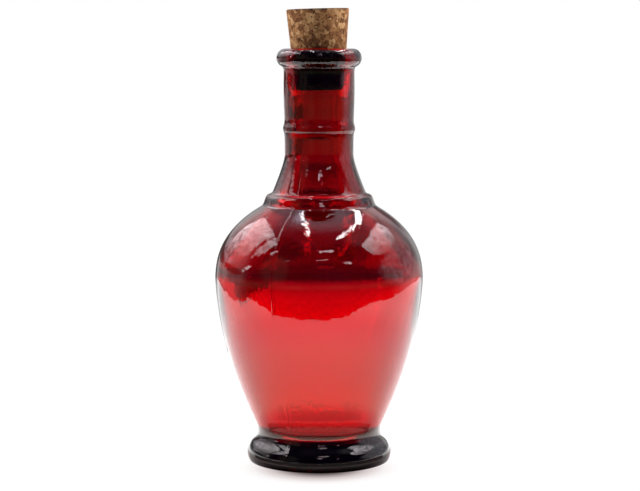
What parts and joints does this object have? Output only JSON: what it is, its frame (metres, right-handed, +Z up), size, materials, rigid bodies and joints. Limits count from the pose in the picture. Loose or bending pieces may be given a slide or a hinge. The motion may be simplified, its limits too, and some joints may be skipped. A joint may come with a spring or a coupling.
{
  "type": "decorative glass bottle with cork",
  "caption": "Round-bodied decorative bottle in red glass with a raised foot, a collar under a slim neck, a rolled lip and a tapered natural cork.",
  "frame": {"origin": "centre of the surface the bottle stands on, on the bottle's axis", "axes": "+Z up along the bottle's axis, -Y towards the front, +X to the right seen from the front"},
  "size_m": [0.1006, 0.1006, 0.2184],
  "materials": {
    "glass": "polished, tinted red through its thickness",
    "cork": "matte natural cork"
  },
  "bodies": {
    "root": {"bottle": "glass", "cork": "cork"}
  },
  "joints": []
}
